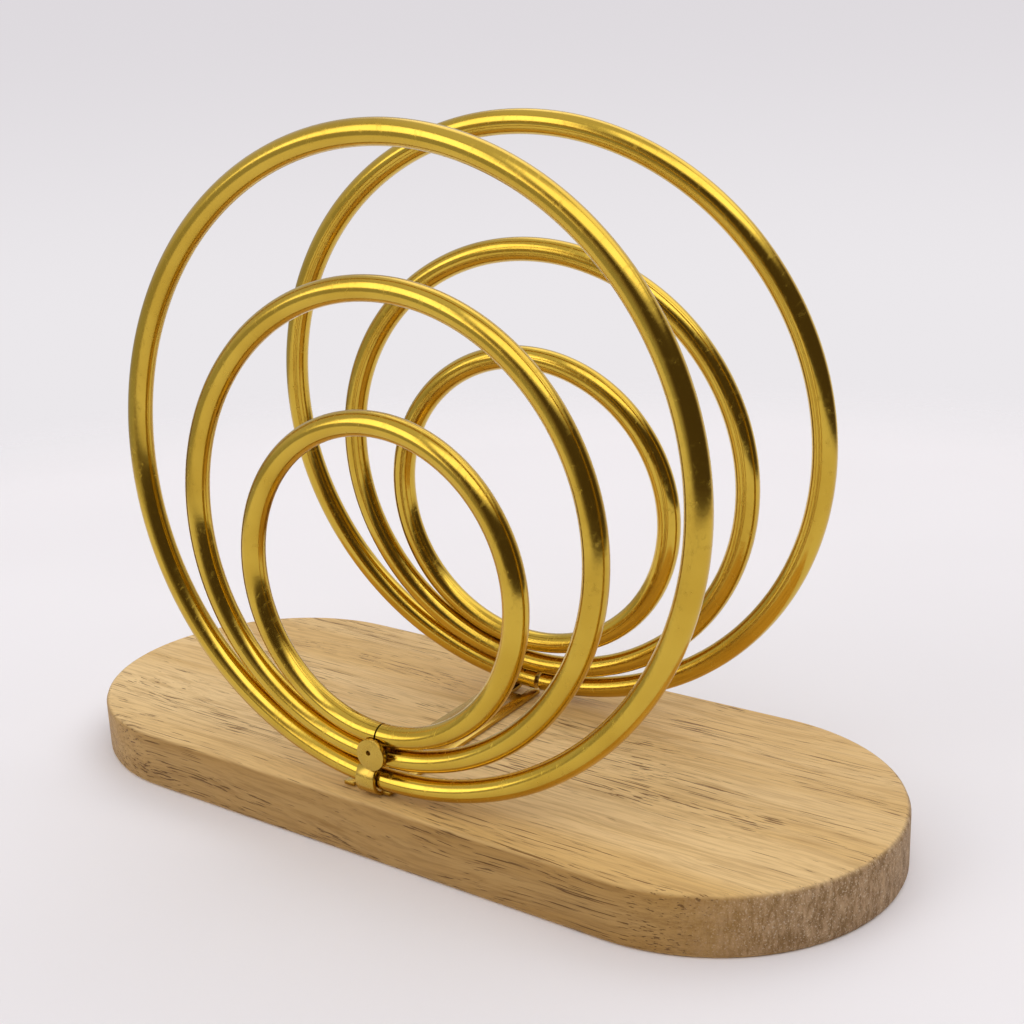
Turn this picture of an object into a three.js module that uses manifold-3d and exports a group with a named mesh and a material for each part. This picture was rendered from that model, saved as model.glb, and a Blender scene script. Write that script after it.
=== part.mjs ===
// Table holder for napkins or letters: two upright fans of three tube rings each, held by a bent
// sheet-metal strip on a wooden board. Millimetres, +Z up, +X along the board. The origin is the
// centre of the board's underside.
import * as THREE from 'three';
import { mergeVertices } from 'three/addons/utils/BufferGeometryUtils.js';
import Module from 'manifold-3d';

const wasm = await Module();
wasm.setup();

// ---- driving dimensions ---------------------------------------------------------------------

const FIT_GAP = 0.25;               // clearance kept between pieces that touch

const BOARD_LENGTH = 188;
const BOARD_WIDTH = 76;
const BOARD_THICKNESS = 12;
const BOARD_ARRIS = 1;              // rounding of the board's edges

// The metalwork stands slightly turned on the board, and nearer to its front edge.
const METALWORK_X = -0.6;
const METALWORK_Y = -6.2;
const METALWORK_TURN = 2.7;         // degrees about the vertical
const FAN_SPACING = 54.4;           // from the front fan to the rear fan

const TUBE_DIAMETER = 4.8;
const TUBE_WALL = 0.7;
const PRESSED_HEIGHT = 4.2;         // tube height where the rings are pressed on each other
const PRESSED_REACH = 34;           // how far along the tube the flattening fades out
const SEAM_PIN_DIAMETER = 2.2;
const SEAM_PIN_LENGTH = 10;

// Each ring: radius to the middle of its tube, x of its lowest point, small shift from front to
// back, lean towards the back and turn about the vertical in degrees, and its open butt seam.
const FRONT_RINGS = {
  large: { radius: 60, low: 8.7, shift: 0, lean: 1.3, turn: 1.8, seam: 2, gap: 0.5 },
  medium: { radius: 44.3, low: 5.7, shift: 0.3, lean: 1.8, turn: 1.4, seam: 5.8, gap: 0.9 },
  small: { radius: 30.1, low: 5, shift: 0, lean: 1.1, turn: 0, seam: 4.2, gap: 0.4 },
};
const REAR_RINGS = {
  large: { radius: 60, low: 10, shift: 0, lean: -4.8, turn: 4, seam: 5.9, gap: 1.1 },
  medium: { radius: 45.3, low: 9, shift: -0.6, lean: -3.3, turn: 4.6, seam: 2.8, gap: 0.5 },
  small: { radius: 31.7, low: 6.1, shift: -0.1, lean: -2.9, turn: 2.9, seam: 3.2, gap: 0.5 },
};

const SHEET = 0.8;                  // thickness of the strip
const STRIP_WIDTH = 11;
const STRIP_HALF_LENGTH = 27.6;     // to the ends of the flat stubs beside the tongue
const WIDE_STUB = 2.3;
const NARROW_STUB = 1.5;
const TONGUE_WIDTH = 4.2;
const SLIT_DEPTH = 4;               // of the slit between wide stub and tongue
const TONGUE_AXIS = 27.1;           // from the strip's middle to the large tube inside the tongue
const TONGUE_GAPS = { front: 0.3, rear: 0.5 }; // between tongue and tube
const TONGUE_END = 55;              // how far the tongue reaches up round the tube, in degrees
                                    // above level

// The round plates brazed across the medium and small ring, seen from the strip's middle.
const DISC_DIAMETER = 6.2;
const DISC_THICKNESS = 0.9;
const DISC_SIDE = 3.9;              // to the right, seen from outside
const DISC_HEIGHT = 6.4;            // above the large tube's middle
const DISC_CLEARANCE = 0.3;         // between the disc's rim and the tongue's hollow end
const DISCS = { front: { outwards: 30.3, lean: 1.4 }, rear: { outwards: 29.8, lean: 3.5 } };
const PIN_HOLE_DIAMETER = 1;
const PIN_HOLE_SHIFT = 0.4;         // from the disc's middle, to the left and up

const STUD_SPACING = 34;
const STUD_DIAMETER = 3.9;
const STUD_BOTTOM = 0.6;
const BORE_DIAMETER = 4.6;          // of every hole a stud runs through
const POCKET_DIAMETER = 11;
const POCKET_DEPTH = 5.5;
const WASHER_DIAMETER = 9;
const WASHER_THICKNESS = 0.8;
const NUT_ACROSS_FLATS = 7;
const NUT_HEIGHT = 3.2;

// ---- worked out from them -------------------------------------------------------------------

const STRIP_BOTTOM = BOARD_THICKNESS + FIT_GAP;
const STRIP_TOP = STRIP_BOTTOM + SHEET;
const RING_BASE = STRIP_TOP + FIT_GAP + PRESSED_HEIGHT / 2; // lowest middle of the large tube
const RING_PITCH = PRESSED_HEIGHT + FIT_GAP;                // from ring to ring where they touch

// ---- materials ------------------------------------------------------------------------------

const WOOD = new THREE.MeshStandardMaterial({ color: 0xc4a26c, roughness: 0.75, metalness: 0 });
const GOLD = new THREE.MeshStandardMaterial({ color: 0xc9a227, roughness: 0.28, metalness: 1 });
const STEEL = new THREE.MeshStandardMaterial({ color: 0x9a9a98, roughness: 0.35, metalness: 1 });

// ---- solids ---------------------------------------------------------------------------------

function toSolid(geometry) {
  const bare = geometry.clone();
  bare.deleteAttribute('normal');
  bare.deleteAttribute('uv');
  const merged = mergeVertices(bare, 1e-4);
  return new wasm.Manifold(new wasm.Mesh({
    numProp: 3,
    vertProperties: new Float32Array(merged.attributes.position.array),
    triVerts: new Uint32Array(merged.index.array),
  }));
}

function toGeometry(solid) {
  const mesh = solid.getMesh();
  const geometry = new THREE.BufferGeometry();
  geometry.setAttribute('position', new THREE.BufferAttribute(mesh.vertProperties, 3));
  geometry.setIndex(new THREE.BufferAttribute(mesh.triVerts, 1));
  geometry.computeVertexNormals();
  return geometry;
}

function named(name, geometry, material) {
  const mesh = new THREE.Mesh(geometry, material.clone());
  mesh.name = name;
  return mesh;
}

function box(x, y, z) {
  const geometry = new THREE.BoxGeometry(x[1] - x[0], y[1] - y[0], z[1] - z[0]);
  geometry.translate((x[0] + x[1]) / 2, (y[0] + y[1]) / 2, (z[0] + z[1]) / 2);
  return toSolid(geometry);
}

// A closed upright cylinder between two heights.
function upright(diameter, bottom, top, sides = 24, x = 0, y = 0) {
  const geometry = new THREE.CylinderGeometry(diameter / 2, diameter / 2, top - bottom, sides);
  geometry.rotateX(Math.PI / 2);
  geometry.translate(x, y, (bottom + top) / 2);
  return toSolid(geometry);
}

// ---- the board ------------------------------------------------------------------------------

function boardOutline() {
  const radius = BOARD_WIDTH / 2;
  const straight = BOARD_LENGTH / 2 - radius;
  const outline = new THREE.Shape();
  outline.moveTo(-straight, -radius);
  outline.lineTo(straight, -radius);
  outline.absarc(straight, 0, radius, -Math.PI / 2, Math.PI / 2, false);
  outline.lineTo(-straight, radius);
  outline.absarc(-straight, 0, radius, Math.PI / 2, Math.PI * 1.5, false);
  return outline;
}

// Where the two studs stand, seen from above, in the board's own frame.
function studPlaces() {
  const up = new THREE.Vector3(0, 0, 1);
  const places = [-1, 1].map((side) => new THREE.Vector3(0, side * STUD_SPACING / 2, 0)
    .applyAxisAngle(up, THREE.MathUtils.degToRad(METALWORK_TURN))
    .add(new THREE.Vector3(METALWORK_X, METALWORK_Y, 0)));
  return { front: places[0], rear: places[1] };
}

function baseBoard() {
  const slab = new THREE.ExtrudeGeometry(boardOutline(), {
    depth: BOARD_THICKNESS - 2 * BOARD_ARRIS,
    curveSegments: 24,
    bevelThickness: BOARD_ARRIS,
    bevelSize: BOARD_ARRIS,
    bevelOffset: -BOARD_ARRIS,
    bevelSegments: 2,
  });
  slab.translate(0, 0, BOARD_ARRIS);
  let board = toSolid(slab);
  for (const { x, y } of Object.values(studPlaces())) {
    board = board
      .subtract(upright(BORE_DIAMETER, -1, BOARD_THICKNESS + 1, 24, x, y))
      .subtract(upright(POCKET_DIAMETER, -1, POCKET_DEPTH, 32, x, y));
  }
  return named('base_board', toGeometry(board), WOOD);
}

// ---- studs, washers and nuts under the strip ------------------------------------------------

function stud() {
  return upright(STUD_DIAMETER, STUD_BOTTOM, STRIP_BOTTOM - FIT_GAP);
}

function washer() {
  const top = POCKET_DEPTH - FIT_GAP;
  return upright(WASHER_DIAMETER, top - WASHER_THICKNESS, top, 32)
    .subtract(upright(BORE_DIAMETER, 0, BOARD_THICKNESS));
}

function nut() {
  const top = POCKET_DEPTH - WASHER_THICKNESS - 2 * FIT_GAP;
  const acrossCorners = NUT_ACROSS_FLATS / Math.cos(Math.PI / 6);
  return upright(acrossCorners, top - NUT_HEIGHT, top, 6)
    .subtract(upright(BORE_DIAMETER, 0, BOARD_THICKNESS));
}

function studSet() {
  const group = new THREE.Group();
  for (const [side, place] of Object.entries(studPlaces())) {
    const pieces = [
      named(`strip_stud_${side}`, toGeometry(stud()), STEEL),
      named(`stud_washer_${side}`, toGeometry(washer()), STEEL),
      named(`stud_nut_${side}`, toGeometry(nut()), STEEL),
    ];
    for (const piece of pieces) {
      piece.position.copy(place);
      group.add(piece);
    }
  }
  return group;
}

// ---- rings ----------------------------------------------------------------------------------

// An arc of a circle in the XZ plane round the origin. Angles run from the lowest point towards +X.
class RingArc extends THREE.Curve {
  constructor(radius, from, to) {
    super();
    Object.assign(this, { radius, from, to });
  }

  getPoint(t, target = new THREE.Vector3()) {
    const angle = this.from + (this.to - this.from) * t;
    return target.set(this.radius * Math.sin(angle), 0, -this.radius * Math.cos(angle));
  }
}

function circle(Kind, diameter, sides) {
  const points = Array.from({ length: sides }, (_, i) => {
    const angle = (i + 0.5) * 2 * Math.PI / sides;
    return new THREE.Vector2(Math.cos(angle), Math.sin(angle)).multiplyScalar(diameter / 2);
  });
  return new Kind(points);
}

// Presses the tube flat round the ring's lowest point, where the rings stand on each other.
function pressFlat(geometry, radius) {
  const point = new THREE.Vector3();
  const places = geometry.attributes.position;
  for (let i = 0; i < places.count; i += 1) {
    point.fromBufferAttribute(places, i);
    const fromAxis = Math.hypot(point.x, point.z);
    const along = radius * Math.abs(Math.atan2(point.x, -point.z));
    const fade = THREE.MathUtils.smoothstep(1 - along / PRESSED_REACH, 0, 1);
    const squeeze = 1 - fade * (1 - PRESSED_HEIGHT / TUBE_DIAMETER);
    const scale = (radius + (fromAxis - radius) * squeeze) / fromAxis;
    places.setXYZ(i, point.x * scale, point.y, point.z * scale);
  }
  return geometry;
}

function bentTube(radius, from, to, section, steps) {
  const path = new RingArc(radius, from, to);
  const geometry = new THREE.ExtrudeGeometry(section, { steps, extrudePath: path });
  return toGeometry(toSolid(pressFlat(geometry, radius)));
}

function ringTube(ring, seam) {
  const section = circle(THREE.Shape, TUBE_DIAMETER, 12);
  section.holes.push(circle(THREE.Path, TUBE_DIAMETER - 2 * TUBE_WALL, 8));
  const halfGap = ring.gap / 2 / ring.radius;
  const steps = Math.round(ring.radius * 0.8) + 6;
  return bentTube(ring.radius, seam + halfGap, seam + 2 * Math.PI - halfGap, section, steps);
}

function seamPin(ring, seam) {
  const halfPin = SEAM_PIN_LENGTH / 2 / ring.radius;
  const section = circle(THREE.Shape, SEAM_PIN_DIAMETER, 8);
  return bentTube(ring.radius, seam - halfPin, seam + halfPin, section, 4);
}

// A ring and its pin, turned and leaned about the fan's own origin on the strip.
function pinnedRing(fan, size, ring, centre) {
  const seam = Math.asin((ring.seam - centre.x) / ring.radius);
  const pieces = [
    named(`ring_${fan}_${size}`, ringTube(ring, seam), GOLD),
    named(`seam_pin_${fan}_${size}`, seamPin(ring, seam), STEEL),
  ];
  const group = new THREE.Group();
  group.position.y = ring.shift;
  group.rotation.order = 'ZXY';
  group.rotation.x = -THREE.MathUtils.degToRad(ring.lean);
  group.rotation.z = THREE.MathUtils.degToRad(ring.turn);
  for (const piece of pieces) {
    piece.position.copy(centre);
    group.add(piece);
  }
  return group;
}

// Each smaller ring touches the next larger one on the inside, a tube's height apart.
function ringFan(fan, y, rings) {
  const group = new THREE.Group();
  group.position.set(0, y, RING_BASE);
  let outer = null;
  for (const [size, ring] of Object.entries(rings)) {
    const centre = new THREE.Vector3(ring.low, 0, ring.radius);
    if (outer) {
      const reach = outer.radius - ring.radius - RING_PITCH;
      const sideways = ring.low - outer.centre.x;
      centre.z = outer.centre.z - Math.sqrt(reach ** 2 - sideways ** 2);
    }
    group.add(pinnedRing(fan, size, ring, centre));
    outer = { radius: ring.radius, centre };
  }
  return group;
}

// ---- saddle strip ---------------------------------------------------------------------------

// The middle line of one tongue's sheet from the side: outwards and up round the large tube.
function tongueLine(gap) {
  const round = TUBE_DIAMETER / 2 + gap + SHEET / 2;
  const low = STRIP_BOTTOM + SHEET / 2;
  const steps = 12;
  return Array.from({ length: steps + 1 }, (_, i) => {
    const angle = THREE.MathUtils.degToRad((90 + TONGUE_END) * i / steps);
    return new THREE.Vector2(
      TONGUE_AXIS + round * Math.sin(angle),
      low + round * (1 - Math.cos(angle)),
    );
  });
}

// The whole bent strip before its outline is stamped, much wider than it needs to be.
function bentSheet() {
  const front = tongueLine(TONGUE_GAPS.front).map(({ x, y }) => new THREE.Vector2(-x, y));
  const line = [...front.reverse(), ...tongueLine(TONGUE_GAPS.rear)];
  const offsets = line.map((point, i) => {
    const before = line[Math.max(0, i - 1)];
    const after = line[Math.min(line.length - 1, i + 1)];
    return new THREE.Vector2().subVectors(after, before).normalize()
      .rotateAround(new THREE.Vector2(), Math.PI / 2).multiplyScalar(SHEET / 2);
  });
  const above = line.map((point, i) => point.clone().add(offsets[i]));
  const below = line.map((point, i) => point.clone().sub(offsets[i]));
  const outline = new THREE.Shape([...below, ...above.reverse()]);
  const width = 2 * STRIP_WIDTH;
  const sheet = new THREE.ExtrudeGeometry(outline, { depth: width, bevelEnabled: false });
  sheet.translate(0, 0, -width / 2);
  sheet.applyMatrix4(new THREE.Matrix4().makeBasis(
    new THREE.Vector3(0, 1, 0),
    new THREE.Vector3(0, 0, 1),
    new THREE.Vector3(1, 0, 0),
  ));
  return toSolid(sheet);
}

// A round bar along Y, leaned inwards at its top.
function crossBar(diameter, length, x, y, z, lean = 0) {
  const geometry = new THREE.CylinderGeometry(diameter / 2, diameter / 2, length, 32);
  geometry.rotateX(THREE.MathUtils.degToRad(lean));
  geometry.translate(x, y, z);
  return toSolid(geometry);
}

// What the stamp leaves of the strip's rear end. The front end is the same, turned half a turn.
function stampedEnd() {
  const side = STRIP_WIDTH / 2;
  const flat = [0, RING_BASE];
  const tongue = [NARROW_STUB - side, NARROW_STUB - side + TONGUE_WIDTH];
  return box([-side, side], [-1, STRIP_HALF_LENGTH - SLIT_DEPTH], flat)
    .add(box([side - WIDE_STUB, side], [-1, STRIP_HALF_LENGTH], flat))
    .add(box([-side, tongue[0] + 1], [-1, STRIP_HALF_LENGTH], flat))
    .add(box(tongue, [-1, 2 * TONGUE_AXIS], [0, 2 * RING_BASE]))
    .subtract(crossBar(DISC_DIAMETER + 2 * DISC_CLEARANCE, 20, -DISC_SIDE, TONGUE_AXIS,
      RING_BASE + DISC_HEIGHT));
}

function saddleStrip() {
  const frontEnd = toSolid(toGeometry(stampedEnd()).rotateZ(Math.PI));
  return named('saddle_strip', toGeometry(bentSheet().intersect(stampedEnd().add(frontEnd))), GOLD);
}

// ---- discs ----------------------------------------------------------------------------------

function ringDisc(fan, { outwards, lean }) {
  const z = RING_BASE + DISC_HEIGHT;
  const solid = crossBar(DISC_DIAMETER, DISC_THICKNESS, -DISC_SIDE, outwards, z, lean)
    .subtract(crossBar(PIN_HOLE_DIAMETER, 4, PIN_HOLE_SHIFT - DISC_SIDE, outwards,
      z + PIN_HOLE_SHIFT));
  const disc = named(`ring_disc_${fan}`, toGeometry(solid), GOLD);
  if (fan === 'front') disc.rotation.z = Math.PI;
  return disc;
}

// ---- the whole part -------------------------------------------------------------------------

function metalwork() {
  const group = new THREE.Group();
  group.position.set(METALWORK_X, METALWORK_Y, 0);
  group.rotation.z = THREE.MathUtils.degToRad(METALWORK_TURN);
  group.add(
    saddleStrip(),
    ringDisc('front', DISCS.front),
    ringDisc('rear', DISCS.rear),
    ringFan('front', -FAN_SPACING / 2, FRONT_RINGS),
    ringFan('rear', FAN_SPACING / 2, REAR_RINGS),
  );
  return group;
}

const part = new THREE.Group();
part.add(baseBoard(), metalwork(), studSet());

export default part;
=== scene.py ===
# %% [markdown]
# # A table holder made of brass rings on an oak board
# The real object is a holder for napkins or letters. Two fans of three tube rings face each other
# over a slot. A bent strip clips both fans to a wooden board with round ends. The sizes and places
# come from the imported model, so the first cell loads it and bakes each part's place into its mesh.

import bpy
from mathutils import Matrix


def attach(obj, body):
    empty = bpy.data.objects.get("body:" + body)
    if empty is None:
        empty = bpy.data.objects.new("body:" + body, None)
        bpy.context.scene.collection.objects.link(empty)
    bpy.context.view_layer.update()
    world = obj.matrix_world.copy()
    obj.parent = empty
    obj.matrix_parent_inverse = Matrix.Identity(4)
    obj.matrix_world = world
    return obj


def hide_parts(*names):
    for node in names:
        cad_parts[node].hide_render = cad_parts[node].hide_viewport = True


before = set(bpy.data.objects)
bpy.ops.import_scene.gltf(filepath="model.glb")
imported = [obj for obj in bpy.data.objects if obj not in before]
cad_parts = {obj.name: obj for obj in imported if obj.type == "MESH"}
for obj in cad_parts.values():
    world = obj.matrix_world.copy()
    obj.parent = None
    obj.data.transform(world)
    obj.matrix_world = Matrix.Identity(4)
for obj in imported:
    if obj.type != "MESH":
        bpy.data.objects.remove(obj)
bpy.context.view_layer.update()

# %% [markdown]
# Everything is in metres. A few tools are needed from the start: the maths of turning things, and
# bmesh, Blender's kit for shaping meshes. Two small helpers keep the later cells short: one turns a
# finished bmesh into an object, the other tells how big a piece came out.

# %% Tools and helpers
import math

import bmesh
import bpy
from mathutils import Matrix, Vector

MM = 0.001


def finished_piece(bm, name, material, replaced):
    """Makes an object of a bmesh and gives it its finish and the node it stands for."""
    mesh = bpy.data.meshes.new(name)
    bm.to_mesh(mesh)
    bm.free()
    mesh.materials.append(material)
    piece = bpy.data.objects.new(name, mesh)
    bpy.context.scene.collection.objects.link(piece)
    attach(piece, "root")
    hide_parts(replaced)
    return piece


def report_size(piece):
    size = [round(side / MM, 1) for side in piece.dimensions]
    print(piece.name, "mm:", size, "faces:", len(piece.data.polygons))


# %% [markdown]
# ## The camera
# The object is seen from its front right, a little from above, with the camera leaning by two
# degrees. A lens of about 52 mm keeps the near end of the board only a little larger than the far
# one. The camera comes first, so that every later look is taken from the same place.

# %% Camera
CAMERA_PLACE = Vector((177.2, -227.9, 144.8)) * MM
CAMERA_AZIMUTH = math.radians(35.7)
CAMERA_ELEVATION = math.radians(16.6)
CAMERA_ROLL = math.radians(-2.2)
LENS_MM = 52.4
SENSOR_WIDTH_MM = 36

camera_data = bpy.data.cameras.new("camera")
camera_data.lens = LENS_MM
camera_data.sensor_width = SENSOR_WIDTH_MM
camera = bpy.data.objects.new("camera", camera_data)
turn = Matrix.Rotation(CAMERA_AZIMUTH, 4, "Z")
tilt = Matrix.Rotation(math.pi / 2 - CAMERA_ELEVATION, 4, "X")
roll = Matrix.Rotation(CAMERA_ROLL, 4, "Z")
camera.matrix_world = Matrix.Translation(CAMERA_PLACE) @ turn @ tilt @ roll
bpy.context.scene.collection.objects.link(camera)
bpy.context.scene.camera = camera
print("camera looks along", (camera.matrix_world.to_3x3() @ Vector((0, 0, -1))).to_tuple(3))

# %% [markdown]
# ## A kit for node materials
# Each finish is a small graph of nodes. Writing a graph by hand takes many lines, so a short class
# adds a node, sets its values and links its inputs in one call. Patterns read Object coordinates,
# which stay fixed to the piece whatever the camera does.

# %% Node kit


class Nodes:
    """Adds nodes to one node tree and links them."""

    def __init__(self, tree):
        self.tree = tree
        self.column = 0

    def add(self, kind, settings=None, **inputs):
        node = self.tree.nodes.new(kind)
        self.column += 1
        node.location = (180 * (self.column % 8), -220 * (self.column // 8))
        for name, value in (settings or {}).items():
            setattr(node, name, value)
        for name, value in inputs.items():
            self.feed(node.inputs[name.replace("_", " ")], value)
        return node

    def feed(self, socket, value):
        if isinstance(value, bpy.types.NodeSocket):
            self.tree.links.new(value, socket)
        else:
            socket.default_value = value

    def math(self, operation, a, b=0.0, c=0.0):
        node = self.add("ShaderNodeMath", {"operation": operation})
        for socket, value in zip(node.inputs, (a, b, c)):
            self.feed(socket, value)
        return node.outputs["Value"]

    def span(self, value, low, high, to_low=0.0, to_high=1.0):
        node = self.add("ShaderNodeMapRange", {"interpolation_type": "SMOOTHSTEP"})
        for name, number in (("Value", value), ("From Min", low), ("From Max", high),
                             ("To Min", to_low), ("To Max", to_high)):
            self.feed(node.inputs[name], number)
        return node.outputs["Result"]

    def mix(self, factor, a, b, blend="MIX"):
        node = self.add("ShaderNodeMix", {"data_type": "RGBA", "blend_type": blend})
        for socket, value in ((node.inputs[0], factor), (node.inputs[6], a), (node.inputs[7], b)):
            self.feed(socket, value)
        return node.outputs[2]

    def noise(self, place, scale, detail=3.0, roughness=0.5, distortion=0.0):
        node = self.add("ShaderNodeTexNoise", Vector=place, Scale=scale, Detail=detail,
                        Roughness=roughness, Distortion=distortion)
        return node.outputs["Fac"]

    def stretched(self, place, scale, turn=(0.0, 0.0, 0.0), shift=(0.0, 0.0, 0.0)):
        node = self.add("ShaderNodeMapping", Vector=place, Scale=scale, Rotation=turn,
                        Location=shift)
        return node.outputs["Vector"]


def new_material(name):
    material = bpy.data.materials.new(name)
    material.use_nodes = True
    kit = Nodes(material.node_tree)
    shader = material.node_tree.nodes["Principled BSDF"]
    place = kit.add("ShaderNodeTexCoord").outputs["Object"]
    return material, kit, shader, place


def new_group(name, inputs, outputs):
    tree = bpy.data.node_groups.new(name, "ShaderNodeTree")
    for label, kind, value in inputs:
        socket = tree.interface.new_socket(label, in_out="INPUT", socket_type=kind)
        if value is not None:
            socket.default_value = value
    for label, kind in outputs:
        tree.interface.new_socket(label, in_out="OUTPUT", socket_type=kind)
    kit = Nodes(tree)
    return tree, kit, kit.add("NodeGroupInput").outputs, kit.add("NodeGroupOutput").inputs


# %% [markdown]
# ## Handling marks on metal
# Drawn brass tube is never a perfect mirror. It has soft waves from bending, a fine haze of
# scratches and a few dull patches where the lacquer is thin. Tube, strip and steel fixings all show
# some of this, so it is one node group: it gives a cloudy value for colour and gloss, a scratch
# value for gloss, and a height for bumps.

# %% Group: handling marks
marks_tree, kit, given, result = new_group(
    "handling_marks",
    [("Place", "NodeSocketVector", None), ("Wave size", "NodeSocketFloat", 60.0),
     ("Scratch size", "NodeSocketFloat", 900.0)],
    [("Cloud", "NodeSocketFloat"), ("Scratch", "NodeSocketFloat"), ("Height", "NodeSocketFloat")],
)
waves = kit.noise(given["Place"], given["Wave size"], detail=2.0)
long_marks = kit.stretched(given["Place"], (1.0, 0.25, 0.6), turn=(0.3, 0.5, 0.7))
scratches = kit.noise(long_marks, given["Scratch size"], detail=4.0, roughness=0.6, distortion=0.4)
kit.feed(result["Cloud"], kit.span(waves, 0.35, 0.68))
kit.feed(result["Scratch"], kit.span(scratches, 0.52, 0.72))
fine = kit.math("MULTIPLY", scratches, 0.12)
kit.feed(result["Height"], kit.math("ADD", waves, fine))
print("group", marks_tree.name, "nodes:", len(marks_tree.nodes))

# %% [markdown]
# ## Brass for the tubes
# The tubes are polished brass under clear lacquer: a deep yellow metal with a sharp gloss. Its
# colour changes a little from place to place. The haze of scratches raises the roughness, and the
# soft waves bend the reflections a little, as on any bent tube. The strip and the discs are the same
# metal, but duller.

# %% Material: lacquered brass
CLOUD_ROUGHNESS = 0.05
TUBE_YELLOW, TUBE_BROWNER = (0.64, 0.43, 0.058, 1), (0.58, 0.375, 0.045, 1)
STRIP_YELLOW, STRIP_BROWNER = (0.64, 0.43, 0.085, 1), (0.55, 0.36, 0.06, 1)


def brass(name, light, dark, gloss, haze, bump):
    material, kit, shader, place = new_material(name)
    marks = kit.add("ShaderNodeGroup", {"node_tree": marks_tree}, Place=place,
                    Wave_size=70.0, Scratch_size=900.0).outputs
    colour = kit.mix(marks["Cloud"], light, dark)
    kit.feed(shader.inputs["Base Color"], colour)
    hazy = kit.math("MULTIPLY_ADD", marks["Scratch"], haze, gloss)
    kit.feed(shader.inputs["Roughness"], kit.math("MULTIPLY_ADD", marks["Cloud"],
                                                    CLOUD_ROUGHNESS, hazy))
    shader.inputs["Metallic"].default_value = 1.0
    dents = kit.add("ShaderNodeBump", Height=marks["Height"], Strength=bump, Distance=0.6 * MM)
    kit.feed(shader.inputs["Normal"], dents.outputs["Normal"])
    return material


tube_brass = brass("lacquered_brass_tube", TUBE_YELLOW, TUBE_BROWNER,
                   gloss=0.13, haze=0.16, bump=0.15)
strip_brass = brass("satin_brass_strip", STRIP_YELLOW, STRIP_BROWNER,
                    gloss=0.20, haze=0.14, bump=0.14)
print("brass finishes:", tube_brass.name, strip_brass.name)

# %% [markdown]
# ## Zinc-plated steel for the hidden fixings
# Studs, washers and nuts under the board are plain plated steel: grey, half dull, with the same
# haze. The pins inside the tube seams are bare drawn wire, darker and duller.

# %% Material: steel fixings
ZINC_GREY, ZINC_DARKER = (0.62, 0.62, 0.6, 1), (0.5, 0.5, 0.49, 1)
WIRE_BROWN, WIRE_DARKER = (0.36, 0.3, 0.2, 1), (0.26, 0.22, 0.15, 1)


def steel(name, light, dark, gloss):
    material, kit, shader, place = new_material(name)
    marks = kit.add("ShaderNodeGroup", {"node_tree": marks_tree}, Place=place,
                    Wave_size=260.0, Scratch_size=1500.0).outputs
    kit.feed(shader.inputs["Base Color"], kit.mix(marks["Cloud"], light, dark))
    kit.feed(shader.inputs["Roughness"], kit.math("MULTIPLY_ADD", marks["Scratch"], 0.2, gloss))
    shader.inputs["Metallic"].default_value = 1.0
    dents = kit.add("ShaderNodeBump", Height=marks["Height"], Strength=0.1, Distance=0.3 * MM)
    kit.feed(shader.inputs["Normal"], dents.outputs["Normal"])
    return material


plated_steel = steel("zinc_plated_steel", ZINC_GREY, ZINC_DARKER, gloss=0.3)
pin_steel = steel("drawn_wire_steel", WIRE_BROWN, WIRE_DARKER, gloss=0.38)
print("steel finishes:", plated_steel.name, pin_steel.name)

# %% [markdown]
# ## Oak for the board
# The board is sawn along the trunk, so its grain runs along X. Oak reads as oak through four
# things: broad pale and brown bands, streaks between them, fine fibres, and dark pores that are
# thin and several millimetres long. All of it is noise stretched far along X and bent a little
# sideways, so that no line is ruler straight. The pores stand in crowds, with clear wood between.

# %% Group: oak grain
SIDEWAYS_DRIFT = 16 * MM
GRAIN_SCALES = {"bands": (4.0, 62.0, 62.0), "streaks": (24.0, 560.0, 560.0),
                "fibres": (75.0, 1700.0, 1700.0), "pores": (62.0, 2700.0, 2700.0),
                "crowds": (14.0, 110.0, 110.0), "drift": (7.0, 26.0, 26.0)}

grain_tree, kit, given, result = new_group(
    "oak_grain", [("Place", "NodeSocketVector", None)],
    [("Bands", "NodeSocketFloat"), ("Streaks", "NodeSocketFloat"), ("Fibres", "NodeSocketFloat"),
     ("Pores", "NodeSocketFloat")],
)
drift = kit.noise(kit.stretched(given["Place"], GRAIN_SCALES["drift"]), 1.0, detail=3.0)
sideways = kit.add("ShaderNodeCombineXYZ", X=0.0, Y=drift, Z=drift).outputs["Vector"]
bent = kit.add("ShaderNodeVectorMath", {"operation": "MULTIPLY_ADD"})
reach = (0.0, SIDEWAYS_DRIFT, SIDEWAYS_DRIFT)
for socket, value in zip(bent.inputs, (sideways, reach, given["Place"])):
    kit.feed(socket, value)
fibre = bent.outputs["Vector"]
bands = kit.noise(kit.stretched(fibre, GRAIN_SCALES["bands"]), 1.0, detail=3.0, roughness=0.55)
streaks = kit.noise(kit.stretched(fibre, GRAIN_SCALES["streaks"]), 1.0, detail=5.0, roughness=0.7)
fibres = kit.noise(kit.stretched(fibre, GRAIN_SCALES["fibres"]), 1.0, detail=3.0, roughness=0.6)
pores = kit.noise(kit.stretched(fibre, GRAIN_SCALES["pores"]), 1.0, detail=2.0, roughness=0.55)
elsewhere = kit.stretched(fibre, GRAIN_SCALES["crowds"], shift=(3.0, 1.0, 2.0))
crowd = kit.noise(elsewhere, 1.0, detail=2.0)
pore_edge = kit.span(crowd, 0.35, 0.65, 0.71, 0.595)
kit.feed(result["Bands"], kit.span(bands, 0.34, 0.64))
kit.feed(result["Streaks"], kit.span(streaks, 0.48, 0.72))
kit.feed(result["Fibres"], fibres)
kit.feed(result["Pores"], kit.span(kit.math("SUBTRACT", pores, pore_edge), -0.02, 0.03))
print("group", grain_tree.name, "nodes:", len(grain_tree.nodes))
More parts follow.
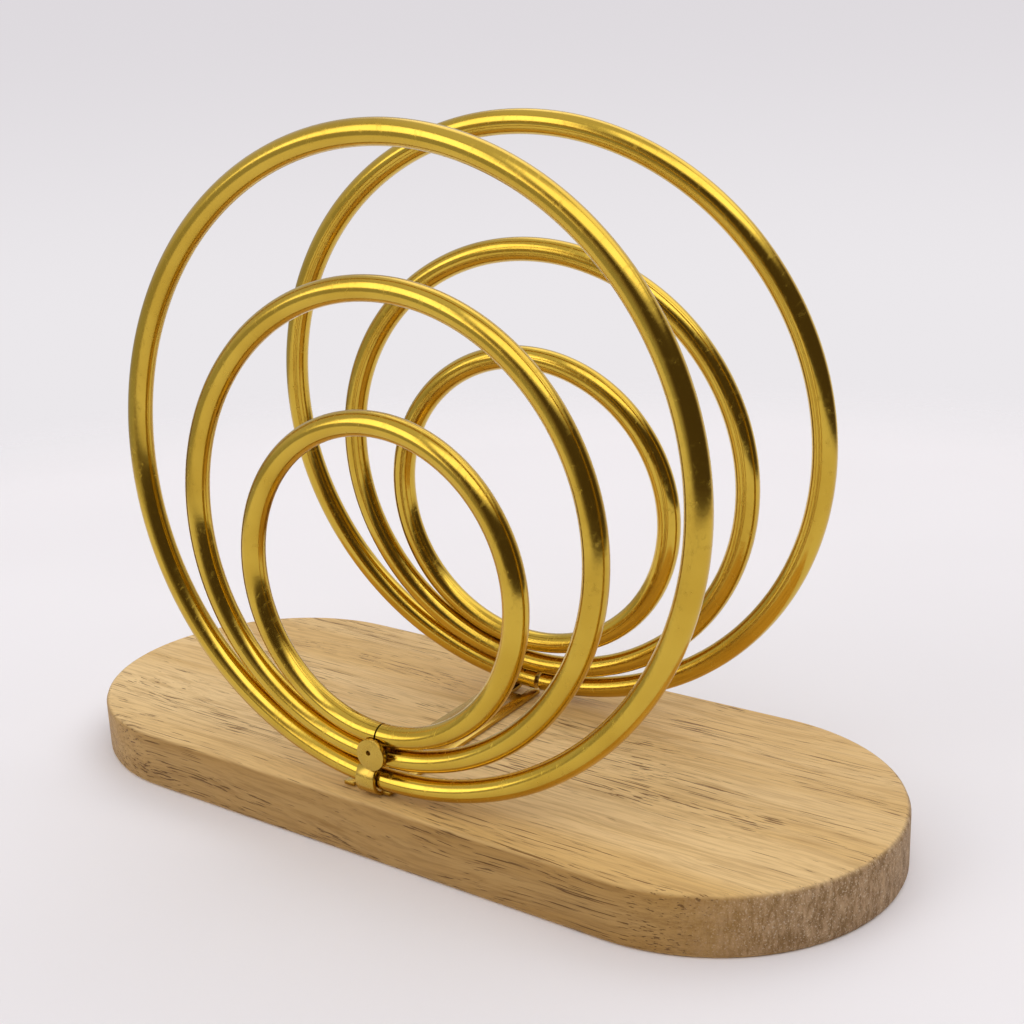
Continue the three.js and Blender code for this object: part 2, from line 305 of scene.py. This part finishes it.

# %% [markdown]
# The round ends cut the fibres across. The whole rim carries a painted shade: its colour is
# multiplied darker than the top, standing in for the lesser light on its upright faces. Towards the
# ends it turns greyish, has fewer open pores, and shows upright sanding scratches and pale specks.

# %% Material: oak
OAK_PALE, OAK_TAN = (0.82, 0.58, 0.275, 1), (0.70, 0.45, 0.165, 1)
STREAK_BROWN, FIBRE_BROWN = (0.38, 0.21, 0.065, 1), (0.38, 0.22, 0.08, 1)
PORE_BROWN = (0.17, 0.075, 0.018, 1)
# Painted shade: this colour darkens the rim, for the lesser light on its upright faces.
RIM_PAINTED_SHADE = (0.585, 0.51, 0.375, 1)
END_DARK, END_LIGHT, SPECK = (0.18, 0.10, 0.04, 1), (0.54, 0.37, 0.22, 1), (0.78, 0.66, 0.5, 1)


def oak():
    material, kit, shader, place = new_material("fine_sanded_oak")
    grain = kit.add("ShaderNodeGroup", {"node_tree": grain_tree}, Place=place).outputs
    normal = kit.add("ShaderNodeNewGeometry").outputs["Normal"]
    facing = kit.add("ShaderNodeSeparateXYZ", Vector=normal).outputs
    # Painted shade mask: 1 on the upright rim faces, 0 on the flat top and bottom.
    painted_shade_mask = kit.span(kit.math("ABSOLUTE", facing["Z"]), 0.4, 0.9, 1.0, 0.0)
    end = kit.span(kit.math("ABSOLUTE", facing["X"]), 0.25, 0.85)
    scratches = kit.noise(kit.stretched(place, (700.0, 700.0, 260.0)), 1.0, detail=6.0,
                          roughness=0.85)
    pale = kit.mix(grain["Bands"], OAK_PALE, OAK_TAN)
    streaked = kit.mix(kit.math("MULTIPLY", grain["Streaks"], 0.42), pale, STREAK_BROWN)
    fibred = kit.mix(kit.span(grain["Fibres"], 0.42, 0.66, 0.0, 0.34), streaked, FIBRE_BROWN)
    open_pores = kit.math("MULTIPLY", grain["Pores"], kit.span(end, 0.1, 0.7, 0.8, 0.2))
    pored = kit.mix(open_pores, fibred, PORE_BROWN)
    # Painted shade: the rim's colour is multiplied darker here, for the lesser light on upright
    # faces.
    with_painted_rim_shade = kit.mix(painted_shade_mask, pored, RIM_PAINTED_SHADE, "MULTIPLY")
    cut = kit.mix(kit.span(scratches, 0.38, 0.64), END_DARK, END_LIGHT)
    specks = kit.span(kit.noise(place, 2600.0, detail=1.0), 0.60, 0.68, 0.0, 0.6)
    specked = kit.mix(specks, cut, SPECK)
    ends = kit.mix(kit.math("MULTIPLY", end, 0.74), with_painted_rim_shade, specked)
    kit.feed(shader.inputs["Base Color"], ends)
    kit.feed(shader.inputs["Roughness"], kit.math("MULTIPLY_ADD", grain["Streaks"], 0.15, 0.55))
    relief = kit.math("SUBTRACT", kit.math("MULTIPLY", grain["Fibres"], 0.5), grain["Pores"])
    torn = kit.math("MULTIPLY_ADD", scratches, end, relief)
    rough = kit.add("ShaderNodeBump", Height=torn, Strength=0.6, Distance=0.3 * MM)
    kit.feed(shader.inputs["Normal"], rough.outputs["Normal"])
    shader.inputs["Specular IOR Level"].default_value = 0.25
    return material


board_oak = oak()
print("wood:", board_oak.name, "nodes:", len(board_oak.node_tree.nodes))

# %% [markdown]
# ## The board
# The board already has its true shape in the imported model: a slab with round ends, softened edges
# and two stud pockets below. Only its facets would show. A merged copy, shaded smooth up to sharp
# edges, keeps the exact shape and loses the facets, so nothing has to be rebuilt.

# %% Board
MERGE_DISTANCE = 0.002 * MM
FLAT_ANGLE = math.radians(0.5)
BOARD_SHARP_ANGLE = math.radians(35)


def merged_copy(node):
    """A bmesh of a node with its loose triangles joined, and flat areas made whole again."""
    bm = bmesh.new()
    bm.from_mesh(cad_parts[node].data)
    bmesh.ops.remove_doubles(bm, verts=bm.verts, dist=MERGE_DISTANCE)
    bmesh.ops.dissolve_limit(bm, angle_limit=FLAT_ANGLE, verts=bm.verts, edges=bm.edges)
    return bm


board_mesh = merged_copy("base_board")
board = finished_piece(board_mesh, "oak_board", board_oak, "base_board")
board.data.shade_smooth()
board.data.set_sharp_from_angle(angle=BOARD_SHARP_ANGLE)
report_size(board)

# %% [markdown]
# ## The rings
# A ring is a tube bent round until its ends meet in a butt seam. A torus would have no seam and no
# wall. So two circles, one for the outside and one for the bore, are spun round the ring's axis and
# stop short of a full turn, and two bridges close the tube's ends. The tubes are pressed a little
# flat where the rings of a fan touch, which moves only points near the bottom towards the tube's
# middle line.

# %% Ring dimensions
TUBE_RADIUS = 2.4 * MM
BORE_RADIUS = 1.7 * MM
TUBE_SIDES = 32
BORE_SIDES = 20
RING_STEPS = 200
RING_SHARP_ANGLE = math.radians(50)
PRESSED_SHARE = 4.2 / 4.8
PRESSED_REACH = 34 * MM
METALWORK_PLACE = Vector((-0.6, -6.2, 0)) * MM
METALWORK_TURN = math.radians(2.7)
FAN_DISTANCE = 54.4 * MM
RING_PITCH = 4.45 * MM
RING_BASE = 15.4 * MM

RINGS = {
    "front": {
        "large": dict(radius=60, low=8.7, shift=0, lean=1.3, turn=1.8, seam=2, gap=0.5),
        "medium": dict(radius=44.3, low=5.7, shift=0.3, lean=1.8, turn=1.4, seam=5.8, gap=0.9),
        "small": dict(radius=30.1, low=5, shift=0, lean=1.1, turn=0, seam=4.2, gap=0.4),
    },
    "rear": {
        "large": dict(radius=60, low=10, shift=0, lean=-4.8, turn=4, seam=5.9, gap=1.1),
        "medium": dict(radius=45.3, low=9, shift=-0.6, lean=-3.3, turn=4.6, seam=2.8, gap=0.5),
        "small": dict(radius=31.7, low=6.1, shift=-0.1, lean=-2.9, turn=2.9, seam=3.2, gap=0.5),
    },
}
print("rings:", [f"{fan} {size}" for fan in RINGS for size in RINGS[fan]])

# %% [markdown]
# First the tube itself. It is made with the ring's axis on Y and the seam at the right angle from
# the lowest point, so that it only has to be moved into its fan afterwards.

# %% Tube bent to a ring


def rim_of(bm, radius, place, sides):
    """One circle of edges across the tube, at the ring's lowest point."""
    circle = bmesh.ops.create_circle(bm, cap_ends=False, radius=radius, segments=sides,
                                     matrix=Matrix.Translation(place)
                                     @ Matrix.Rotation(math.pi / 2, 4, "Y"))
    return list({edge for vert in circle["verts"] for edge in vert.link_edges})


def open_rims(bm):
    return [edge for edge in bm.edges if edge.is_boundary]


def bent_tube(ring_radius, seam_angle, gap_angle, steps=RING_STEPS):
    bm = bmesh.new()
    low = Vector((0, 0, -ring_radius))
    rims = rim_of(bm, TUBE_RADIUS, low, TUBE_SIDES) + rim_of(bm, BORE_RADIUS, low, BORE_SIDES)
    start = Matrix.Rotation(-seam_angle - gap_angle / 2, 3, "Y")
    bmesh.ops.rotate(bm, verts=bm.verts, matrix=start, cent=(0, 0, 0))
    bmesh.ops.spin(bm, geom=rims, cent=(0, 0, 0), axis=(0, -1, 0),
                   angle=2 * math.pi - gap_angle, steps=steps, use_merge=False)
    rims = open_rims(bm)
    for at_start in (True, False):
        side = [edge for edge in rims if nearer_start(edge, seam_angle) is at_start]
        bmesh.ops.bridge_loops(bm, edges=side)
    bmesh.ops.recalc_face_normals(bm, faces=bm.faces)
    return bm


def nearer_start(edge, seam_angle):
    """Whether an open edge lies on the +X side of the seam, where the spin starts."""
    middle = (edge.verts[0].co + edge.verts[1].co) / 2
    angle = math.atan2(middle.x, -middle.z)
    return angle > seam_angle


def press_flat(bm, ring_radius):
    """Squeezes the tube near the ring's lowest point, and less and less away from it."""
    for vert in bm.verts:
        from_axis = math.hypot(vert.co.x, vert.co.z)
        along = ring_radius * abs(math.atan2(vert.co.x, -vert.co.z))
        t = min(1, max(0, 1 - along / PRESSED_REACH))
        fade = t * t * (3 - 2 * t)
        squeeze = 1 - fade * (1 - PRESSED_SHARE)
        share = (ring_radius + (from_axis - ring_radius) * squeeze) / from_axis
        vert.co.x *= share
        vert.co.z *= share


test_tube = bent_tube(60 * MM, 0, 0.01, steps=24)
print("a coarse tube has", len(test_tube.faces), "faces, open edges:", len(open_rims(test_tube)))
test_tube.free()

# %% [markdown]
# Now the six rings are put where they belong. The large ring of a fan stands on the strip, and each
# smaller ring touches the next larger one from inside, so its height follows from the two radii.
# Each ring has its own small lean and turn, because the fans were bent and brazed by hand.

# %% Rings in their fans


def fan_centres(rings):
    """The middle of each ring in its fan's own frame, in metres."""
    centres = {}
    outer = None
    for size, ring in rings.items():
        centre = Vector((ring["low"], 0, ring["radius"])) * MM
        if outer:
            reach = (outer["radius"] - ring["radius"]) * MM - RING_PITCH
            sideways = centre.x - centres[outer["size"]].x
            centre.z = centres[outer["size"]].z - math.sqrt(reach ** 2 - sideways ** 2)
        centres[size] = centre
        outer = {"size": size, "radius": ring["radius"]}
    return centres


def ring_place(fan_y, ring, centre):
    lean = Matrix.Rotation(-math.radians(ring["lean"]), 4, "X")
    turn = Matrix.Rotation(math.radians(ring["turn"]), 4, "Z")
    fan = Matrix.Translation((0, fan_y + ring["shift"] * MM, RING_BASE))
    metalwork = Matrix.Translation(METALWORK_PLACE) @ Matrix.Rotation(METALWORK_TURN, 4, "Z")
    return metalwork @ fan @ turn @ lean @ Matrix.Translation(centre)


for fan, rings in RINGS.items():
    fan_y = -FAN_DISTANCE / 2 if fan == "front" else FAN_DISTANCE / 2
    centres = fan_centres(rings)
    for size, ring in rings.items():
        radius = ring["radius"] * MM
        centre = centres[size]
        seam = math.asin((ring["seam"] * MM - centre.x) / radius)
        tube = bent_tube(radius, seam, ring["gap"] * MM / radius)
        press_flat(tube, radius)
        bmesh.ops.transform(tube, matrix=ring_place(fan_y, ring, centre), verts=tube.verts)
        name = f"brass_ring_{fan}_{size}"
        piece = finished_piece(tube, name, tube_brass, f"ring_{fan}_{size}")
        piece.data.shade_smooth()
        piece.data.set_sharp_from_angle(angle=RING_SHARP_ANGLE)
        report_size(piece)

# %% [markdown]
# ## The strip and the discs
# One strip of sheet brass runs under both fans, and at each end a tongue is bent up round the large
# tube. A round disc with a pin hole is brazed across the smaller rings above each tongue. The
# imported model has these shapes. A real stamped edge is never knife sharp, and a sharp edge catches
# no light, so every corner gets a fine bevel.

# %% Strip and discs
CORNER_ANGLE = math.radians(50)
BEVEL_WIDTH = 0.12 * MM
SHEET_SHARP_ANGLE = math.radians(40)

for node, name in (("saddle_strip", "brass_strip"), ("ring_disc_front", "brass_disc_front"),
                   ("ring_disc_rear", "brass_disc_rear")):
    sheet = merged_copy(node)
    corners = [edge for edge in sheet.edges
               if edge.is_manifold and edge.calc_face_angle(0) > CORNER_ANGLE]
    bmesh.ops.bevel(sheet, geom=corners, offset=BEVEL_WIDTH, offset_type="OFFSET", segments=2,
                    profile=0.5, affect="EDGES", clamp_overlap=True, material=-1)
    piece = finished_piece(sheet, name, strip_brass, node)
    piece.data.shade_smooth()
    piece.data.set_sharp_from_angle(angle=SHEET_SHARP_ANGLE)
    report_size(piece)

# %% [markdown]
# ## The hidden fixings and pins
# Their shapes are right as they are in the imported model, so they only get their finish.

# %% Fixings and pins
for name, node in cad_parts.items():
    if name.startswith("seam_pin"):
        node.data.materials.clear()
        node.data.materials.append(pin_steel)
    elif name.startswith(("strip_stud", "stud_")):
        node.data.materials.clear()
        node.data.materials.append(plated_steel)
print("plain nodes kept:", sum(not node.hide_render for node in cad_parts.values()))

# %% [markdown]
# ## The table
# The object stands on a pale sheet of paper. The sheet fades out about a foot from the object, and
# what lies beyond it is the room, so the shiny tubes show where the paper ends.

# %% Paper sheet
PAPER, PAPER_PALER = (0.85, 0.83, 0.845, 1), (0.86, 0.84, 0.855, 1)
PAPER_FADE = (0.29, 0.43)
PAPER_HALF_SIDE = 0.5

floor_mesh = bmesh.new()
bmesh.ops.create_grid(floor_mesh, x_segments=2, y_segments=2, size=PAPER_HALF_SIDE)
floor_data = bpy.data.meshes.new("paper_floor")
floor_mesh.to_mesh(floor_data)
floor_mesh.free()
floor = bpy.data.objects.new("paper_floor", floor_data)
bpy.context.scene.collection.objects.link(floor)
paper, kit, shader, place = new_material("pale_paper")
shade = kit.noise(place, 12.0, detail=1.0)
kit.feed(shader.inputs["Base Color"], kit.mix(kit.span(shade, 0.3, 0.7), PAPER, PAPER_PALER))
from_object = kit.add("ShaderNodeVectorMath", {"operation": "LENGTH"})
kit.feed(from_object.inputs[0], place)
kit.feed(shader.inputs["Alpha"], kit.span(from_object.outputs["Value"], *PAPER_FADE, 1.0, 0.0))
shader.inputs["Roughness"].default_value = 0.9
shader.inputs["Specular IOR Level"].default_value = 0.1
floor_data.materials.append(paper)
print("floor:", floor.name, "fades from", PAPER_FADE[0], "to", PAPER_FADE[1], "m")

# %% [markdown]
# ## The studio
# Polished tubes show everything round them, so the room is what gives them their look. Its light
# depends on the direction only. The walls are a plain grey and paler behind the object. A softbox
# hangs high on the right of the camera's side and a tall window stands on its left. Below the
# softbox the room is dark, and this puts the deep brown patches on every ring. A weaker light hangs
# high behind the object, so that shadows fall forwards. Directions are told as azimuth, which is 0
# towards the front and grows to the right, and as height, which is 1 straight up.

# %% Studio directions
world = bpy.data.worlds.new("studio")
bpy.context.scene.world = world
world.use_nodes = True
kit = Nodes(world.node_tree)
direction = kit.add("ShaderNodeTexCoord").outputs["Generated"]
parts = kit.add("ShaderNodeSeparateXYZ", Vector=direction).outputs
height = parts["Z"]
azimuth = kit.math("ARCTAN2", parts["X"], kit.math("MULTIPLY", parts["Y"], -1.0))


def patch(middle, half_width, low, high, side_edge, height_edge):
    """Is 1 inside a rectangle of directions, in degrees and height, and 0 past its soft edges."""
    aside = kit.math("ABSOLUTE", kit.math("SUBTRACT", azimuth, math.radians(middle)))
    inner, outer = half_width - side_edge, half_width + side_edge
    across = kit.span(aside, math.radians(inner), math.radians(outer), 1.0, 0.0)
    above = kit.span(height, low - height_edge, low + height_edge)
    below = kit.span(height, high - height_edge, high + height_edge, 1.0, 0.0)
    return kit.math("MULTIPLY", across, kit.math("MULTIPLY", above, below))


def blend(factor, a, b):
    node = kit.add("ShaderNodeMix", {"data_type": "FLOAT"})
    for socket, value in zip(node.inputs[:1] + node.inputs[2:4], (factor, a, b)):
        kit.feed(socket, value)
    return node.outputs[0]


print("direction nodes:", len(world.node_tree.nodes))

# %% [markdown]
# The levels are mixed one over the other, from the plain walls to the lights. What the camera sees
# past the paper's end is the same pale paper, a little darker towards the top.

# %% Studio levels
WALL, BACK_WALL, CEILING, DARK_ROOM = 0.6, 0.9, 0.72, 0.08
SOFTBOX, WINDOW, BACK_LIGHT = 2.15, 2.4, 1.6
LOW_WALL = 0.42
WARM_ROOM, WHITE_ROOM = (1.0, 0.75, 0.6, 1), (1.0, 0.985, 1.0, 1)
BACKDROP_LOW, BACKDROP_HIGH = (0.83, 0.805, 0.83, 1), (0.73, 0.70, 0.73, 1)

level = kit.span(height, 0.0, 0.2, LOW_WALL, WALL)
level = blend(kit.span(kit.math("ABSOLUTE", azimuth), 2.4, 2.9), level, BACK_WALL)
level = blend(kit.span(height, 0.72, 0.86), level, CEILING)
behind = kit.span(kit.math("ABSOLUTE", azimuth), 2.1, 2.4)
raised = kit.math("MULTIPLY", kit.span(height, 0.5, 0.6), kit.span(height, 0.86, 0.92, 1.0, 0.0))
level = blend(kit.math("MULTIPLY", behind, raised), level, BACK_LIGHT)
below_softbox = patch(72, 78, -2, 0.56, 20, 0.05)
level = blend(below_softbox, level, DARK_ROOM)
level = blend(patch(60, 58, 0.67, 0.96, 8, 0.04), level, SOFTBOX)
level = blend(patch(-31, 18, 0.16, 0.70, 5, 0.05), level, WINDOW)
background = world.node_tree.nodes["Background"]
kit.feed(background.inputs["Color"], kit.mix(below_softbox, WHITE_ROOM, WARM_ROOM))
kit.feed(background.inputs["Strength"], level)
backdrop = kit.mix(kit.span(height, -0.15, 0.06), BACKDROP_LOW, BACKDROP_HIGH)
seen = kit.add("ShaderNodeBackground", Color=backdrop, Strength=1.0)
ray = kit.add("ShaderNodeLightPath").outputs["Is Camera Ray"]
choice = kit.add("ShaderNodeMixShader")
for socket, value in zip(choice.inputs, (ray, background.outputs[0], seen.outputs[0])):
    kit.feed(socket, value)
kit.feed(world.node_tree.nodes["World Output"].inputs["Surface"], choice.outputs[0])
print("walls:", WALL, BACK_WALL, CEILING, DARK_ROOM, "lights:", SOFTBOX, WINDOW, BACK_LIGHT)

# %% [markdown]
# ## Look
# Colours are shown plainly, with the Standard view.

# %% Finish
bpy.context.scene.view_settings.view_transform = "Standard"
